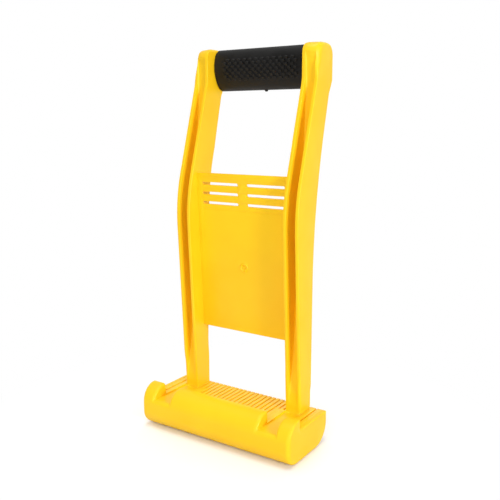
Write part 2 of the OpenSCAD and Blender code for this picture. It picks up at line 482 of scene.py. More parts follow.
@dataclass(frozen=True)
class MouldGrain:
    """What a mould leaves on a surface: a fine grain, and clouds in its colour and gloss."""

    grain_detail: float = 3.0
    grain_roughness: float = 0.55
    cloud_detail: float = 2.0
    cloud_roughness: float = 0.5
    cloud_range: Spot = (0.3, 0.7)

    def make(self) -> bpy.types.ShaderNodeTree:
        """Builds the node group that the finishes share.

        Returns:
            A group that takes a place, the size of its grain and of its clouds, and gives the
            height of the grain and a soft mask of clouds, both from 0 to 1.
        """
        tree = bpy.data.node_groups.new("mould_grain", "ShaderNodeTree")
        for name, way, kind in (
                ("Place", "INPUT", "NodeSocketVector"), ("Grain Scale", "INPUT", "NodeSocketFloat"),
                ("Cloud Scale", "INPUT", "NodeSocketFloat"),
                ("Height", "OUTPUT", "NodeSocketFloat"), ("Cloud", "OUTPUT", "NodeSocketFloat")):
            tree.interface.new_socket(name, in_out=way, socket_type=kind)
        wire = Wiring(tree)
        given = wire.add("NodeGroupInput").outputs
        grain = wire.out("ShaderNodeTexNoise", {
            "Vector": given["Place"], "Scale": given["Grain Scale"],
            "Detail": self.grain_detail, "Roughness": self.grain_roughness})
        cloud = wire.out("ShaderNodeTexNoise", {
            "Vector": given["Place"], "Scale": given["Cloud Scale"],
            "Detail": self.cloud_detail, "Roughness": self.cloud_roughness})
        thin, thick = self.cloud_range
        spread = wire.out("ShaderNodeMapRange", {
            "Value": cloud, "From Min": thin, "From Max": thick}, interpolation_type="SMOOTHSTEP")
        wire.add("NodeGroupOutput", {"Height": grain, "Cloud": spread})
        return tree


@dataclass(frozen=True)
class Finish:
    """A moulded finish: a colour and gloss that drift a little, with a fine grain."""

    name: str
    colour: Colour
    drift_colour: Colour
    roughness: Spot
    specular: float
    grain_scale: float
    cloud_scale: float
    grain_depth_mm: float
    grain_strength: float

    def make(self, grain: bpy.types.ShaderNodeTree) -> bpy.types.Material:
        """Builds the material.

        Args:
            grain: The shared group of mould marks.

        Returns:
            The material.
        """
        material = bpy.data.materials.new(self.name)
        material.diffuse_color = self.colour
        wire = Wiring.of(material)
        place = wire.add("ShaderNodeTexCoord").outputs["Object"]
        marks = wire.add("ShaderNodeGroup", {
            "Place": place, "Grain Scale": self.grain_scale, "Cloud Scale": self.cloud_scale},
            node_tree=grain).outputs
        tint = wire.mix(marks["Cloud"], self.colour, self.drift_colour, Blend.COLOUR)
        low, high = self.roughness
        gloss = wire.out("ShaderNodeMapRange",
                         {"Value": marks["Cloud"], "To Min": low, "To Max": high})
        bump = wire.out("ShaderNodeBump", {
            "Strength": self.grain_strength, "Distance": self.grain_depth_mm * MM,
            "Height": marks["Height"]})
        skin = wire.out("ShaderNodeBsdfPrincipled", {
            "Base Color": tint, "Roughness": gloss, "Specular IOR Level": self.specular,
            "Normal": bump})
        wire.add("ShaderNodeOutputMaterial", {"Surface": skin})
        return material


YELLOW = Finish(
    name="satin_yellow_plastic", colour=(0.998, 0.612, 0.010, 1.0),
    drift_colour=(0.990, 0.582, 0.008, 1.0), roughness=(0.38, 0.46), specular=0.3,
    grain_scale=900.0, cloud_scale=22.0, grain_depth_mm=0.05, grain_strength=0.25)
BLACK = Finish(
    name="matt_black_rubber", colour=(0.008, 0.0075, 0.007, 1.0),
    drift_colour=(0.012, 0.0115, 0.011, 1.0), roughness=(0.48, 0.6), specular=0.26,
    grain_scale=1400.0, cloud_scale=60.0, grain_depth_mm=0.06, grain_strength=0.5)


def seat(piece: bpy.types.Object, slot: Slot, *nodes: str) -> bpy.types.Object:
    """Hides the nodes that a piece stands for and sets what it rides on.

    Args:
        piece: The finished piece.
        slot: The record's slot for its finish. Not used.
        nodes: CAD nodes that it replaces.

    Returns:
        The piece.
    """
    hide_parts(*nodes)
    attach(piece, BODY)
    return piece


@dataclass
class Arm:
    """One bowed arm, H-shaped in section, with its foot and head.

    Corners of a profile hold depth, height and radius, from the bottom up.
    """

    side: Side
    layout: Layout
    skin: bpy.types.Material
    groove_w: float = 9.6
    groove_edge_r: float = 0.5
    groove_floor_r: float = 1.6
    groove_draft: float = 0.3
    lip_r: float = 0.9
    foot_r: float = 2.6
    back_r: float = 1.2
    foot_fade: Spot = (56.0, 66.0)
    heel_fade: Spot = (47.0, 54.0)
    foot_flare: float = 2.0
    foot_front: float = 14.5
    foot_back: float = 34.9
    foot_crease: float = 10.5
    head_front: float = 36.5
    head_back: float = 66.0
    head_front_r: float = 10.0
    head_back_r: float = 12.0
    head_flat: float = 0.1
    top_round_out: float = 3.5
    top_round_in: float = 2.5
    front_bow: tuple[Corner, ...] = ((3.5, 225.5, 150.0), (36.5, 337.0, 25.0))
    back_bow: tuple[Corner, ...] = ((34.9, 222.0, 600.0), (60.0, 325.0, 3.0), (66.0, 337.0, 3.0))
    front_groove: tuple[Corner, ...] = (
        (14.05, 37.0, 0.0), (15.0, 50.0, 10.0), (19.4, 72.0, 30.0), (22.8, 97.0, 60.0),
        (25.0, 140.0, 100.0), (36.0, 288.0, 120.0), (38.6, 322.0, 20.0), (39.0, 337.0, 10.0),
        (38.2, 357.0, 6.0), (36.4, 362.5, 0.0))
    back_groove: tuple[Corner, ...] = (
        (16.6, 45.0, 3.0), (26.8, 95.5, 60.0), (40.7, 300.0, 150.0), (40.7, 352.0, 3.0))
    past_back: float = 70.0
    inner_crease: tuple[Corner, ...] = (
        (11.4, 69.0, 4.0), (23.0, 85.0, 5.0), (23.0, 95.0, 20.0), (25.7, 131.0, 60.0),
        (24.0, 194.0, 100.0), (21.0, 251.0, 60.0), (21.0, 275.0, 0.0))
    crease_gaps: Spot = (0.5, 2.0)
    rear_lean: float = math.tan(math.radians(3.0))
    lean_fade: tuple[Spot, ...] = ((60.0, 0.0), (80.0, 1.0), (255.0, 1.0), (275.0, 0.0))
    head_inner_rounds: tuple[Spot, ...] = ((340.0, 0.0), (350.0, 1.4), (358.0, 2.6), (364.0, 3.2))
    head_outer_rounds: tuple[Spot, ...] = (
        (338.0, 0.01), (346.0, 3.0), (349.0, 4.6), (357.0, 7.7), (363.0, 8.6))
    head_round_share: float = 0.6
    shin_top: float = 60.0
    neck: float = 320.0
    head_run: float = 10.0
    foot_cuts: int = 6
    shin_cuts: int = 20
    body_cuts: int = 72
    neck_cuts: int = 24
    head_cuts: int = 14
    ledge_cuts: tuple[float, ...] = (-0.05, 0.02, 0.3, 0.9, 1.8, 3.0)
    cut_decimals: int = 3
    steps: int = 5
    front: Profile = field(init=False)
    back: Profile = field(init=False)
    front_floor: Profile = field(init=False)
    back_floor: Profile = field(init=False)
    crease: Profile = field(init=False)

    def __post_init__(self) -> None:
        """Sets the profiles that the section follows from the foot to the head."""
        deck, top = self.layout.deck, self.layout.total_h
        crown_front = self.head_front + self.head_front_r + self.head_flat
        crown_back = self.head_back - self.head_back_r - self.head_flat
        self.front = Profile([(self.foot_front, deck, 0), *self.front_bow,
                              (self.head_front, top, self.head_front_r), (crown_front, top, 0)])
        self.back = Profile([(self.foot_back, deck, 0), *self.back_bow,
                             (self.head_back, top, self.head_back_r), (crown_back, top, 0)])
        self.front_floor = Profile(self.front_groove)
        low, high = self.ledges
        self.back_floor = Profile([(self.past_back, low, 0), *self.back_groove,
                                   (self.past_back, high, 0)])
        self.crease = Profile([(self.foot_crease, deck, 0), *self.inner_crease])

    @property
    def ledges(self) -> Spot:
        """Heights at which the groove in the back starts and ends."""
        return self.back_groove[0][1], self.back_groove[-1][1]

    def heights(self) -> np.ndarray:
        """Sets the heights of the sections, closer together where the shape changes fast.

        Returns:
            The heights, from the foot to the top.
        """
        deck, chin = self.layout.deck, self.layout.total_h - self.head_run
        low, high = self.ledges
        runs = [deck + self.foot_flare * slow_start(self.foot_cuts),
                np.linspace(deck + self.foot_flare, self.shin_top, self.shin_cuts),
                np.linspace(self.shin_top, self.neck, self.body_cuts),
                np.linspace(self.neck, chin, self.neck_cuts),
                chin + self.head_run * slow_end(self.head_cuts),
                np.add(low, self.ledge_cuts), np.subtract(high, self.ledge_cuts)]
        return np.unique(np.round(np.concatenate(runs), self.cut_decimals))

    def section(self, z: float) -> np.ndarray:
        """The outline at one height.

        Args:
            z: The height.

        Returns:
            Rows of distance outwards from the arm's middle, and Y.
        """
        top, deck = self.layout.total_h, self.layout.deck
        flare = arc_drop(self.foot_flare - (z - deck), self.foot_flare)
        front, back = self.front.at(z) - flare, self.back.at(z) + flare
        half = self.layout.arm_w / 2 + flare
        outer = half - arc_drop(z - top + self.top_round_out, self.top_round_out)
        inner = half - arc_drop(z - top + self.top_round_in, self.top_round_in)
        gap_front, gap_back = self.crease_gaps
        crease = min(max(self.crease.at(z), front + gap_front), back - gap_back)
        lean = self.rear_lean * graded(z, self.lean_fade)
        rear = inner - (back - crease) * lean
        front_r = np.interp(z, self.foot_fade, (self.foot_r, self.lip_r))
        inner_r = max(front_r, graded(z, self.head_inner_rounds))
        outer_back_r = np.interp(z, self.heel_fade, (self.foot_r, self.back_r))
        groove = self.groove_w / 2
        bed = groove - self.groove_draft
        front_bed = max(front, self.front_floor.at(z))
        back_bed = min(back, self.back_floor.at(z))
        edge, floor = self.groove_edge_r, self.groove_floor_r
        outline = rounded_path([
            (-inner, front, inner_r), (-groove, front, edge), (-bed, front_bed, floor),
            (bed, front_bed, floor), (groove, front, edge), (outer, front, front_r),
            (outer, back, outer_back_r), (groove, back, edge), (bed, back_bed, floor),
            (-bed, back_bed, floor), (-groove, back, edge), (-rear, back, self.back_r),
            (-inner, crease, 0)], self.steps)
        return self.round_head(outline, z, front, back, outer)

    def round_head(self, outline: np.ndarray, z: float, front: float, back: float,
                   outer: float) -> np.ndarray:
        """Draws back the head's outer front edge, more towards the top.

        Args:
            outline: Rows of distance outwards and Y.
            z: Height of the section.
            front: Y of the section's front.
            back: Y of the section's back.
            outer: Distance outwards of its outer face.

        Returns:
            The outline, changed in its front half only.
        """
        radius = min(graded(z, self.head_outer_rounds), self.head_round_share * (back - front))
        drop = arc_drop(outline[:, 0] - (outer - radius), radius)
        ahead = outline[:, 1] < (front + back) / 2
        outline[ahead, 1] += drop[ahead]
        return outline

    def build(self) -> list[bpy.types.Object]:
        """Builds the arm and puts it in place of its node.

        Returns:
            The arm, as a list of one piece.
        """
        rings = []
        for z in self.heights():
            outline = self.section(float(z))
            x = self.side.value * (self.layout.arm_x + outline[:, 0])
            rings.append(np.column_stack([x, outline[:, 1], np.full(len(x), z)]))
        node = f"{self.side.name.lower()}_arm"
        piece = show(f"{node}_moulding", skin_mesh(node, rings), self.skin)
        return [seat(piece, Slot.PLASTIC, node)]


@dataclass
class CentrePanel:
    """The plate between the arms, with two columns of slots and a mark from the mould."""

    layout: Layout
    skin: bpy.types.Material
    low: float = 95.3
    top: float = 251.3
    low_front: float = 25.9
    thickness: float = 2.8
    lean: float = math.radians(3.1)
    root: float = 0.5
    slot_len: float = 42.3
    slot_h: float = 2.8
    slot_x: float = 25.75
    slot_columns: int = 2
    slot_rows: int = 3
    slot_pitch: float = 9.4
    slot_round_share: float = 0.499
    slot_facets: int = 6
    first_slot: float = 241.3
    edge_r: float = 0.45
    edge_facets: int = 2
    edge_angle: float = math.radians(50.0)
    mark_z: float = 161.5
    mark_r: float = 4.9
    mark_rise: float = 1.3
    mark_shape: tuple[Spot, ...] = (
        (1.0, -0.3), (1.0, 0.0), (0.76, 1.0), (0.68, 1.0), (0.45, 0.1), (0.24, 0.1), (0.12, 0.9),
        (0.0, 0.9))
    mark_facets: int = 32
    line_z: float = 217.0
    line_shape: tuple[Spot, ...] = ((0.3, 0.5), (-0.22, 0.15), (-0.22, -0.15), (0.3, -0.3))

    def edges(self, recipe: Recipe) -> bpy.types.NodeSocket:
        """Adds the nodes that draw the outlines of the plate and its slots, lying flat.

        Args:
            recipe: The tree that they go into.

        Returns:
            The output with all the outlines.
        """
        wire, size = recipe.wire, recipe.inputs
        sheet = wire.out("GeometryNodeCurvePrimitiveQuadrilateral",
                         {"Width": size["Width"], "Height": size["Height"]}, mode="RECTANGLE")
        sheet = wire.moved(sheet, wire.vector(0.0, wire.math("MULTIPLY", size["Height"], 0.5)))
        slot = wire.out("GeometryNodeCurvePrimitiveQuadrilateral", {
            "Width": size["Slot Length"], "Height": size["Slot Height"]}, mode="RECTANGLE")
        round_end = wire.math("MULTIPLY", size["Slot Height"], self.slot_round_share)
        slot = wire.out("GeometryNodeFilletCurve", {
            "Curve": slot, "Radius": round_end, "Count": self.slot_facets}, mode="POLY")
        fall = wire.math("MULTIPLY", wire.math("SUBTRACT", size["Slot Rows"], 1.0),
                         size["Slot Pitch"])
        places = wire.out("GeometryNodeMeshGrid", {
            "Size X": size["Slot Spread"], "Size Y": fall, "Vertices X": size["Slot Columns"],
            "Vertices Y": size["Slot Rows"]})
        middle = wire.math("SUBTRACT", size["First Slot"], wire.math("MULTIPLY", fall, 0.5))
        places = wire.moved(places, wire.vector(0.0, middle))
        slots = wire.out("GeometryNodeInstanceOnPoints", {"Points": places, "Instance": slot})
        slots = wire.out("GeometryNodeRealizeInstances", {"Geometry": slots})
        return wire.join(slots, sheet)

    def recipe(self) -> Recipe:
        """Builds the tree that cuts the slots out of the plate.

        Returns:
            A tree that makes the plate flat, then leans it into place.
        """
        slope = math.cos(self.lean)
        recipe = Recipe("slotted_plate", {
            "Width": 2 * (self.layout.inner_x + self.root) * MM,
            "Height": (self.top - self.low) / slope * MM, "Thickness": self.thickness * MM,
            "Slot Length": self.slot_len * MM, "Slot Height": self.slot_h * MM,
            "Slot Spread": 2 * self.slot_x * MM, "Slot Columns": self.slot_columns,
            "Slot Rows": self.slot_rows, "Slot Pitch": self.slot_pitch / slope * MM,
            "First Slot": (self.first_slot - self.low) / slope * MM,
            "Lean": QUARTER_TURN + self.lean, "Front": self.low_front * MM, "Low": self.low * MM})
        wire, size = recipe.wire, recipe.inputs
        plate = wire.out("GeometryNodeFillCurve", {"Curve": self.edges(recipe)}, mode="NGONS")
        under = wire.out("GeometryNodeFlipFaces", {"Mesh": plate})
        raised = wire.out("GeometryNodeExtrudeMesh", {
            "Mesh": plate, "Offset Scale": size["Thickness"], "Individual": False})
        solid = wire.out("GeometryNodeMergeByDistance",
                         {"Geometry": wire.join(under, raised), "Distance": MERGE_M})
        sink = wire.math("MULTIPLY", size["Thickness"], -1.0)
        sunk = wire.moved(solid, wire.vector(0.0, 0.0, sink))
        stood = wire.moved(sunk, wire.vector(0.0, size["Front"], size["Low"]),
                           wire.vector(size["Lean"]))
        recipe.close(stood, self.skin)
        return recipe

    def soften(self, piece: bpy.types.Object) -> None:
        """Rounds the plate's edges and shades it.

        Args:
            piece: The plate.
        """
        bevel = piece.modifiers.new("edges", "BEVEL")
        bevel.width, bevel.segments = self.edge_r * MM, self.edge_facets
        bevel.limit_method, bevel.angle_limit = "ANGLE", self.edge_angle
        clean_mesh(settle(piece, bevel))

    def front(self, z: float) -> float:
        """Y of the plate's front at a height."""
        return self.low_front - (z - self.low) * math.tan(self.lean)

    def mark(self) -> bpy.types.Object:
        """Builds the faint ring that the mould's inlet leaves on the front.

        Returns:
            The piece.
        """
        axis = np.array([0.0, -math.cos(self.lean), -math.sin(self.lean)])
        ring = [(out * self.mark_r, up * self.mark_rise) for out, up in self.mark_shape]
        foot = np.array([0.0, self.front(self.mark_z), self.mark_z])
        mesh = turned_mesh("mould_mark", ring, foot, axis, self.mark_facets)
        return show("mould_mark", mesh, self.skin)

    def line(self) -> bpy.types.Object:
        """Builds the fine line under the slots, where two parts of the mould met."""
        outline = np.add((self.front(self.line_z), self.line_z), self.line_shape)
        return show("mould_line", slab_mesh("mould_line", outline, self.layout.inner_x), self.skin)

    def build(self) -> list[bpy.types.Object]:
        """Builds the plate and its marks.

        Returns:
            The pieces.
        """
        plate = self.recipe().run("slotted_panel")
        self.soften(plate)
        return [seat(piece, Slot.PLASTIC, "centre_panel")
                for piece in (plate, self.mark(), self.line())]


@dataclass
class Grip:
    """The rubber sleeve, oval in section, with bands of raised diamonds, on its hidden bar."""

    layout: Layout
    rubber: bpy.types.Material
    plastic: bpy.types.Material
    y: float = 59.5
    z: float = 350.0
    half_depth: float = 12.1
    half_height: float = 19.9
    lean: float = math.radians(10.0)
    wall: float = 3.5
    end_gap: float = 0.25
    edge_r: float = 0.9
    facets: int = 96
    stud_w: float = 1.85
    stud_h: float = 1.65
    stud_cut: float = 0.62
    stud_steps: tuple[Spot, ...] = ((1.1, -0.5), (1.0, 0.7), (0.88, 0.9))
    column_pitch: float = 6.6
    row_pitch: float = 5.7
    columns: int = 13
    rows: int = 4
    band_lift: float = 1.5
    nub_steps: tuple[Spot, ...] = ((1.6, -1.0), (1.6, 0.7), (1.28, 1.19), (0.72, 1.4), (0.0, 1.4))
    nub_facets: int = 20

    def oval(self, inset: float) -> np.ndarray:
        """Draws the leaning oval.

        Args:
            inset: How far it is drawn in from the sleeve's outside.

        Returns:
            Rows of Y and Z.
        """
        angle = full_turn(self.facets)
        depth = (self.half_depth - inset) * np.cos(angle)
        height = (self.half_height - inset) * np.sin(angle)
        y = self.y + depth * math.cos(self.lean) - height * math.sin(self.lean)
        z = self.z + depth * math.sin(self.lean) + height * math.cos(self.lean)
        return np.column_stack([y, z])

    def sleeve(self) -> bpy.types.Object:
        """Builds the sleeve as a closed tube with soft ends.

        Returns:
            The piece.
        """
        end = self.layout.inner_x - self.end_gap
        wall = rounded_path([(-end, 0, self.edge_r), (end, 0, self.edge_r), (end, self.wall, 0),
                             (-end, self.wall, 0)])
        rings = [along_x(self.oval(inset), x) for x, inset in wall]
        return show("grip_sleeve_tube", skin_mesh("grip_sleeve_tube", rings, True), self.rubber)

    def stud(self) -> bpy.types.Mesh:
        """Builds one raised diamond with its corners cut off, lying flat.

        Returns:
            The mesh.
        """
        cut = self.stud_cut
        outline = np.array([(1, cut), (cut, 1), (-cut, 1), (-1, cut),
                            (-1, -cut), (-cut, -1), (cut, -1), (1, -cut)])
        outline *= (self.stud_w, self.stud_h)
        rings = [np.column_stack([outline * scale, np.full(len(outline), height)])
                 for scale, height in self.stud_steps]
        return skin_mesh("grip_diamond", rings)

    @staticmethod
    def lattice(recipe: Recipe) -> bpy.types.NodeSocket:
        """Adds the nodes that lay out the diamonds' places, flat, as two grids in each other.

        Args:
            recipe: The tree that they go into.

        Returns:
            The output with the places.
        """
        wire, size = recipe.wire, recipe.inputs
        grids = []
        for columns, rows in ((1.0, 0.0), (0.0, 1.0)):
            across = wire.math("SUBTRACT", size["Columns"], columns)
            up = wire.math("SUBTRACT", size["Rows"], rows)
            grids.append(wire.out("GeometryNodeMeshGrid", {
                "Size X": wire.math("MULTIPLY", wire.math("SUBTRACT", across, 1.0),
                                    size["Column Pitch"]),
                "Size Y": wire.math("MULTIPLY", wire.math("SUBTRACT", up, 1.0), size["Row Pitch"]),
                "Vertices X": across, "Vertices Y": up}))
        return wire.join(*grids)

    def studs(self) -> bpy.types.Object:
        """Builds the diamonds on the front and back of the sleeve.

        Returns:
            One piece with all of the diamonds.
        """
        recipe = Recipe("grip_diamonds", {
            "Columns": self.columns, "Rows": self.rows, "Column Pitch": self.column_pitch * MM,
            "Row Pitch": self.row_pitch * MM, "Lift": self.band_lift * MM,
            "Half Depth": self.half_depth * MM, "Half Height": self.half_height * MM,
            "Lean": self.lean, "Y": self.y * MM, "Z": self.z * MM})
        wire, size = recipe.wire, recipe.inputs
        spot = wire.add("ShaderNodeSeparateXYZ",
                        {0: wire.out("GeometryNodeInputPosition")}).outputs
        height = wire.math("ADD", spot["Y"], size["Lift"])
        share = wire.math("DIVIDE", height, size["Half Height"])
        bulge = wire.math("SQRT", wire.math("SUBTRACT", 1.0, wire.math("MULTIPLY", share, share)))
        depth = wire.math("MULTIPLY", wire.math("MULTIPLY", bulge, size["Half Depth"]), -1.0)
        wrapped = wire.out("GeometryNodeSetPosition", {
            "Geometry": self.lattice(recipe), "Position": wire.vector(spot["X"], depth, height)})
        normal = wire.vector(0.0, wire.math("DIVIDE", wire.math("MULTIPLY", bulge, -1.0),
                                            size["Half Depth"]),
                             wire.math("DIVIDE", share, size["Half Height"]))
        facing = wire.out("FunctionNodeAlignRotationToVector", {"Vector": normal}, axis="Z",
                          pivot_axis="X")
        band = wire.out("GeometryNodeInstanceOnPoints", {
            "Points": wrapped, "Instance": size["Geometry"], "Rotation": facing})
        bands = wire.join(band, wire.moved(band, turn=(math.pi, 0.0, 0.0)))
        placed = wire.moved(bands, wire.vector(0.0, size["Y"], size["Z"]),
                            wire.vector(size["Lean"]))
        recipe.close(placed, self.rubber)
        return recipe.run("grip_diamond_bands", self.stud())

    def nub(self) -> bpy.types.Object:
        """Builds the small round nub under the middle of the sleeve.

        Returns:
            The piece.
        """
        oval = self.oval(0.0)
        foot = np.array([0.0, *oval[np.argmin(oval[:, 1])]])
        down = np.array([0.0, 0.0, -1.0])
        mesh = turned_mesh("grip_nub", self.nub_steps, foot, down, self.nub_facets)
        return show("grip_nub", mesh, self.rubber)

    def build(self) -> list[bpy.types.Object]:
        """Builds the sleeve's pieces and dresses the bar, which stays as it is.

        Returns:
            The bar and the pieces.
        """
        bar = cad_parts["handle_bar"]
        bar.data.materials.clear()
        bar.data.materials.append(self.plastic)
        return [bar, *(seat(piece, Slot.RUBBER, "grip_sleeve")
                       for piece in (self.sleeve(), self.studs(), self.nub()))]


@dataclass
class Cradle:
    """The cradle that the board stands in: front, lip, ends, ribbed floor and gussets."""

    layout: Layout
    skin: bpy.types.Material
    under_lip: float = 28.2
    inner_toe_r: float = 12.0
    heel_r: float = 20.5
    edge_r: float = 0.8
    least_r: float = 0.05
    notch_w: float = 19.0
    ear_front_r: float = 3.4
    ear_top_r: float = 1.8
    ear_cuts: int = 12
    front_cuts: int = 41
    front_facets: int = 36
    end_front_r: float = 5.0
    end_low_r: float = 3.0
    end_edge_r: float = 1.2
    end_tread_r: float = 1.0
    end_lip_r: float = 1.2
    end_cuts: int = 15
    end_facets: int = 16
    floor_gap: float = 0.2
    rib_w: float = 3.7
    rib_pitch: float = 5.0
    rib_draft: float = 0.1
    rib_r: float = 0.4
    rib_nose: tuple[Spot, ...] = ((1.0, 0.0), (0.35, 0.25), (0.0, 0.9))
    channel_gap: float = 0.1
    strip_root: float = 2.5
    strip_sink: float = 0.4
    strip_facets: int = 4
    land_w: float = 8.9
    land_in: float = 0.5
    land_back: float = 14.5
    land_sink: float = 0.04
    gusset_t: float = 2.5
    gusset_pitch: float = 24.2
    gusset_r: float = 4.0
    gussets: int = 6

    def outline(self, drawn: float = 0.0, rear: float = 0.0) -> np.ndarray:
        """Section of the front wall, base and lip.

        Args:
            drawn: How far the lip's front is drawn in. Its top follows in the ears' proportion.
            rear: How far the lip's rear is drawn in.

        Returns:
            Rows of Y and Z.
        """
        lay = self.layout
        front, lip = lay.y_front + drawn, lay.y_lip - rear
        top = lay.lip_top - drawn * self.ear_top_r / self.ear_front_r
        return rounded_path([
            (lay.y_heel, 0, self.edge_r), (front, 0, lay.toe_r), (front, top, lay.lip_r - drawn),
            (lip, top, max(lay.lip_edge_r - rear, self.least_r)), (lip, self.under_lip, 0),
            (lay.y_wall, self.under_lip, 0), (lay.y_wall, lay.base_t, self.inner_toe_r),
            (lay.y_heel, lay.base_t, self.edge_r)], self.front_facets)

    def section(self, past: float, notched: bool) -> np.ndarray:
        """Section of the front near a notch, with the ears' and the sill's rounded edges.

        Args:
            past: Distance from the notch's flank into the lip.
            notched: Whether the lip is cut away down to the deck.

        Returns:
            Rows of Y and Z.
        """
        plain, radius, deck = self.outline(), self.ear_front_r, self.layout.deck
        drawn = float(arc_drop(radius - past, radius))
        if drawn < TINY:
            return plain
        moved = self.outline(drawn, 0.0 if notched else drawn * self.ear_top_r / radius)
        near = np.hypot(past, np.maximum(deck - plain[:, 1], 0.0))
        cut = plain + (moved - plain) * (arc_drop(radius - near, radius) / drawn)[:, None]
        if notched:
            cut[:, 1] = np.minimum(cut[:, 1], deck)
        return cut

    def cuts(self) -> list[tuple[float, float, bool]]:
        """Places of the sections along the front.

        Returns:
            X, distance past the nearest notch's flank, and whether the lip is cut away.
        """
        half, reach = self.layout.inner_len / 2, self.notch_w / 2
        past = self.ear_front_r * slow_start(self.ear_cuts)
        spots = [(float(x), self.ear_front_r, False)
                 for x in np.linspace(-half, half, self.front_cuts)
                 if abs(abs(x) - self.layout.arm_x) > reach + self.ear_front_r]
        for side in Side:
            for way in (-1, 1):
                flank = side.value * self.layout.arm_x + way * reach
                spots.append((flank - way * SLIVER, 0.0, True))
                spots += [(flank + way * float(d), float(d), False) for d in past]
        return sorted(spots)

    def front(self) -> bpy.types.Object:
        """Builds the front wall, base and notched lip as one moulding.

        Returns:
            The piece.
        """
        rings = [along_x(self.section(past, notched), x) for x, past, notched in self.cuts()]
        piece = show("cradle_front", skin_mesh("cradle_front", rings), self.skin)
        return seat(piece, Slot.PLASTIC, "cradle_shell", "left_lip", "middle_lip", "right_lip")

    @staticmethod
    def rim(out: float, depth: float, radius: float) -> float:
        """How far an end's edge is drawn in.

        Args:
            out: Distance outwards from where the end starts.
            depth: Distance at which the edge's round ends.
            radius: Radius of that round, squeezed where the end is shallower.

        Returns:
            The distance that it is drawn in by.
        """
        run = min(radius, depth)
        share = min(max((out - depth + run) / run, 0.0), 1.0)
        return radius * (1 - math.sqrt(1 - share * share))

    def end(self, side: Side) -> bpy.types.Object:
        """Builds one closed end with a rounded rim.

        Args:
            side: Which end.

        Returns:
            The piece.
        """
        lay = self.layout
        depth = (lay.cradle_len - lay.inner_len) / 2
        rings = []
        for out in depth * slow_end(self.end_cuts):
            rim, low, edge = (self.rim(out, depth, radius) for radius in (
                self.end_front_r, self.end_low_r, self.end_edge_r))
            front, back, top = lay.y_front + rim, lay.y_back - edge, lay.lip_top - edge
            tread, lip = lay.tread_top - edge, lay.y_lip - edge
            outline = rounded_path([
                (front, low, lay.toe_r - rim), (back, low, self.heel_r - low),
                (back, tread, self.end_tread_r), (lip, tread, self.end_lip_r),
                (lip, top, lay.lip_edge_r), (front, top, lay.lip_r - rim)], self.end_facets)
            rings.append(along_x(outline, side.value * (lay.inner_len / 2 + out)))
        node = f"{side.name.lower()}_end_wall"
        return seat(show(f"{node}_cap", skin_mesh(node, rings), self.skin), Slot.PLASTIC, node)

    def floor(self) -> bpy.types.Object:
        """Builds the plate that carries the tread.

        Returns:
            The piece.
        """
        lay = self.layout
        step = self.under_lip - self.floor_gap
        outline = rounded_path([
            (lay.y_wall, lay.floor_low, 0), (lay.y_back, lay.floor_low, self.edge_r),
            (lay.y_back, lay.deck, self.edge_r), (lay.y_lip, lay.deck, 0), (lay.y_lip, step, 0),
            (lay.y_wall, step, 0)])
        mesh = slab_mesh("tread_plate", outline, lay.inner_len / 2)
        return seat(show("tread_plate", mesh, self.skin), Slot.PLASTIC, "cradle_floor")

    def rib(self, width: float) -> bpy.types.Mesh:
        """Builds one rib of the tread, in the middle of the row.

        Args:
            width: Its width along X.

        Returns:
            The mesh.
        """
        back, top = self.layout.y_back, self.layout.tread_top
        nose = [(back - inset, top - drop) for inset, drop in self.rib_nose]
        return self.strip(width, [(self.layout.y_lip - self.strip_root, top), *nose])

    def land(self) -> bpy.types.Mesh:
        """Builds one smooth land of the tread, which closes the slots in front of an arm.

        Returns:
            The mesh.
        """
        top = self.layout.tread_top - self.land_sink
        front = self.layout.y_lip - self.strip_root + self.land_in
        return self.strip(self.land_w, [(front, top), (self.land_back, top)])

    def strip(self, width: float, crest: Sequence[Spot]) -> bpy.types.Mesh:
        """Builds a strip of the tread that runs from the lip to the back.

        Args:
            width: Its width along X.
            crest: Y and height of the places along its top.

        Returns:
            The mesh, about X = 0.
        """
        base, half = self.layout.deck - self.strip_sink, width / 2
        radius = min(self.rib_r, half / 2)
        rings = []
        for y, top in crest:
            outline = rounded_path([
                (-half, base, 0), (half, base, 0), (half - self.rib_draft, top, radius),
                (self.rib_draft - half, top, radius)], self.strip_facets)
            rings.append(np.column_stack([outline[:, 0], np.full(len(outline), y), outline[:, 1]]))
        return skin_mesh("tread_strip", rings)

    def tread(self) -> list[bpy.types.Object]:
        """Builds the tread: ribs between the arms, and wider strips beside each arm's channel.

        Returns:
            The pieces.
        """
        lay, slot = self.layout, self.rib_pitch - self.rib_w
        near, far = lay.inner_x - self.channel_gap, lay.arm_x + lay.arm_w / 2 + self.channel_gap
        last = self.rib_pitch * math.floor(near / self.rib_pitch)
        split = self.rib_pitch * math.ceil(far / self.rib_pitch) + self.rib_pitch
        pairs = (("inner_channel_ribs", last + slot / 2, near),
                 ("outer_channel_ribs", far, split - slot / 2),
                 ("end_ribs", split + slot / 2, lay.inner_len / 2))
        count = 2 * round(last / self.rib_pitch)
        rows = [("tread_ribs", count, self.rib_pitch, self.rib(self.rib_w)),
                ("seat_lands", 2, 2 * (near - self.land_in) - self.land_w, self.land())]
        rows += [(name, 2, low + high, self.rib(high - low)) for name, low, high in pairs]
        return [seat(row_recipe(name, places, pitch, self.skin).run(name, mesh), Slot.PLASTIC,
                     "cradle_floor") for name, places, pitch, mesh in rows]

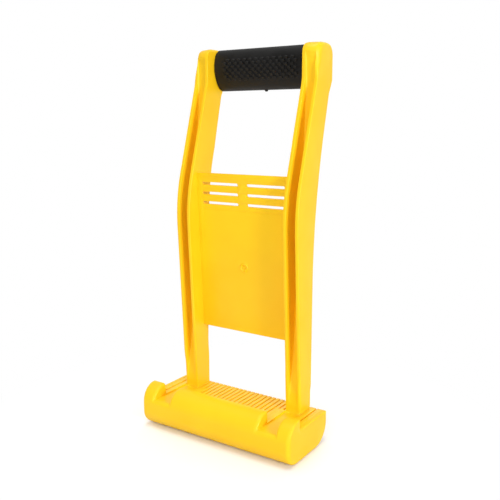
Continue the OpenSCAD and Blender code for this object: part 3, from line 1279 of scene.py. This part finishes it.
    def stiffeners(self) -> bpy.types.Object:
        """Builds the row of upright plates under the floor.

        Returns:
            One piece with all of the plates.
        """
        lay = self.layout
        outline = rounded_path([
            (lay.y_wall, lay.base_t, self.inner_toe_r), (lay.y_heel, lay.base_t, 0),
            (lay.y_heel, 0, 0), (lay.y_back, 0, self.gusset_r), (lay.y_back, lay.floor_low, 0),
            (lay.y_wall, lay.floor_low, 0)])
        plate = slab_mesh("gusset", outline, self.gusset_t / 2)
        row = row_recipe("gusset_row", self.gussets, self.gusset_pitch, self.skin)
        return seat(row.run("gusset_plates", plate), Slot.PLASTIC, "cradle_gussets")

    def build(self) -> list[bpy.types.Object]:
        """Builds the cradle's pieces."""
        return [self.front(), self.end(Side.LEFT), self.end(Side.RIGHT), self.floor(),
                *self.tread(), self.stiffeners()]


@dataclass(frozen=True)
class FloorPaint:
    """The pale paint of the floor, which fades into the white background at its rim."""

    name: str = "floor_paint"
    colour: Colour = (0.97, 0.98, 1.0, 1.0)
    bounce_colour: Colour = (0.7, 0.7, 0.7, 1.0)
    roughness: float = 0.9
    fade_m: Spot = (0.07, 0.27)

    def make(self) -> bpy.types.Material:
        """Builds the material.

        Returns:
            The material.
        """
        paint = bpy.data.materials.new(self.name)
        wire = Wiring.of(paint)
        path = wire.add("ShaderNodeLightPath").outputs
        tint = wire.mix(path["Is Camera Ray"], self.bounce_colour, self.colour, Blend.COLOUR)
        skin = wire.out("ShaderNodeBsdfPrincipled", {
            "Base Color": tint, "Roughness": self.roughness, "Specular IOR Level": 0.0})
        glow = wire.out("ShaderNodeEmission", {"Color": WHITE, "Strength": 1.0})
        place = wire.add("ShaderNodeTexCoord").outputs["Object"]
        away = wire.add("ShaderNodeVectorMath", {0: place}, operation="LENGTH").outputs["Value"]
        near, far = self.fade_m
        rim = wire.out("ShaderNodeMapRange", {"Value": away, "From Min": near, "From Max": far},
                       interpolation_type="SMOOTHSTEP")
        share = wire.math("MULTIPLY", rim, path["Is Camera Ray"])
        both = wire.out("ShaderNodeMixShader", {0: share, 1: skin, 2: glow})
        wire.add("ShaderNodeOutputMaterial", {"Surface": both})
        return paint


@dataclass(frozen=True)
class Lamp:
    """A soft lamp aimed at the carrier, with its place and size in metres."""

    name: str
    place: Corner
    size: float
    watts: float
    glints: bool = True

    def hang(self, aim: Corner) -> None:
        """Hangs the lamp.

        Args:
            aim: The point that it shines at.
        """
        light = bpy.data.lights.new(self.name, "AREA")
        light.shape, light.size, light.energy = "DISK", self.size, self.watts
        lamp = put(self.name, light)
        lamp.location = self.place
        way = Vector(np.subtract(aim, self.place))
        lamp.rotation_euler = way.to_track_quat("-Z", "Y").to_euler()
        lamp.visible_glossy = self.glints


@dataclass
class Studio:
    """The white studio: floor, soft light and the camera at the photo's angle."""

    camera_mm: Corner = (351.2, -500.9, 297.65)
    yaw_deg: float = 33.37
    pitch_deg: float = 10.67
    focal_px: float = 666.7
    image_px: float = 500.0
    sensor_mm: float = 36.0
    floor_m: float = 0.8
    floor_facets: int = 96
    ambient: float = 0.44
    front_gloss: float = 0.2
    gloss_turn: float = 0.7
    bright_side: Corner = (0.35, 0.94, 0.0)
    aim: Corner = (0.0, 0.02, 0.19)
    lamps: tuple[Lamp, ...] = (
        Lamp("key_right", (1.66, -0.58, 0.55), 0.4, 16.5),
        Lamp("fill_front", (0.4, -1.68, 0.5), 1.0, 10.5, False),
        Lamp("top", (0.0, -0.3, 3.0), 1.6, 31.0),
        Lamp("fill_left", (-1.7, 0.35, 0.6), 1.0, 9.0, False),
        Lamp("fill_back", (-0.4, 1.7, 0.7), 1.0, 12.0, False))

    def camera(self) -> None:
        """Sets up the camera."""
        lens = bpy.data.cameras.new("photo_camera")
        lens.sensor_fit, lens.sensor_width = "HORIZONTAL", self.sensor_mm
        lens.lens = self.focal_px / self.image_px * self.sensor_mm
        camera = put("photo_camera", lens)
        camera.location = [c * MM for c in self.camera_mm]
        camera.rotation_euler = (math.radians(90 - self.pitch_deg), 0, math.radians(self.yaw_deg))
        bpy.context.scene.camera = camera

    def surround(self) -> None:
        """Makes the world white where it is seen, and gentle where it lights the carrier."""
        world = bpy.data.worlds.new("white_studio")
        wire = Wiring.of(world)
        path = wire.add("ShaderNodeLightPath").outputs
        way = wire.add("ShaderNodeTexCoord").outputs["Generated"]
        side = wire.add("ShaderNodeVectorMath", {0: way, 1: self.bright_side},
                        operation="DOT_PRODUCT").outputs["Value"]
        gloss = wire.out("ShaderNodeMapRange", {
            "Value": side, "From Min": -self.gloss_turn, "From Max": self.gloss_turn,
            "To Min": self.front_gloss, "To Max": 1.0})
        mirrored = wire.math("MAXIMUM", path["Is Glossy Ray"], path["Is Transmission Ray"])
        level = wire.mix(mirrored, self.ambient, gloss)
        level = wire.mix(path["Is Camera Ray"], level, 1.0)
        light = wire.out("ShaderNodeBackground", {"Color": WHITE, "Strength": level})
        wire.add("ShaderNodeOutputWorld", {"Surface": light})
        bpy.context.scene.world = world

    def floor(self) -> None:
        """Lays the pale round floor."""
        angles = full_turn(self.floor_facets)
        rim = self.floor_m * np.column_stack([np.cos(angles), np.sin(angles), 0 * angles])
        mesh = bpy.data.meshes.new("studio_floor")
        mesh.from_pydata(rim.tolist(), [], [list(range(len(rim)))])
        floor = show("studio_floor", mesh, FloorPaint().make())

    def build(self) -> None:
        """Sets up the camera, light and floor."""
        bpy.context.scene.view_settings.view_transform = "Standard"
        self.camera()
        self.surround()
        self.floor()
        for lamp in self.lamps:
            lamp.hang(self.aim)


def main() -> None:
    """Builds the carrier and its studio, and logs the number of faces of each piece."""
    logging.basicConfig(level=logging.INFO, format="%(name)s: %(message)s")
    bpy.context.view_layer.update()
    layout = Layout()
    grain = MouldGrain().make()
    yellow, black = YELLOW.make(grain), BLACK.make(grain)
    assemblies = (Arm(Side.LEFT, layout, yellow), Arm(Side.RIGHT, layout, yellow),
                  CentrePanel(layout, yellow), Grip(layout, black, yellow), Cradle(layout, yellow))
    for assembly in assemblies:
        for piece in assembly.build():
            log.info("%s: %s with %d faces", type(assembly).__name__, piece.name,
                     len(piece.data.polygons))
    Studio().build()


if __name__ == "__main__":
    main()
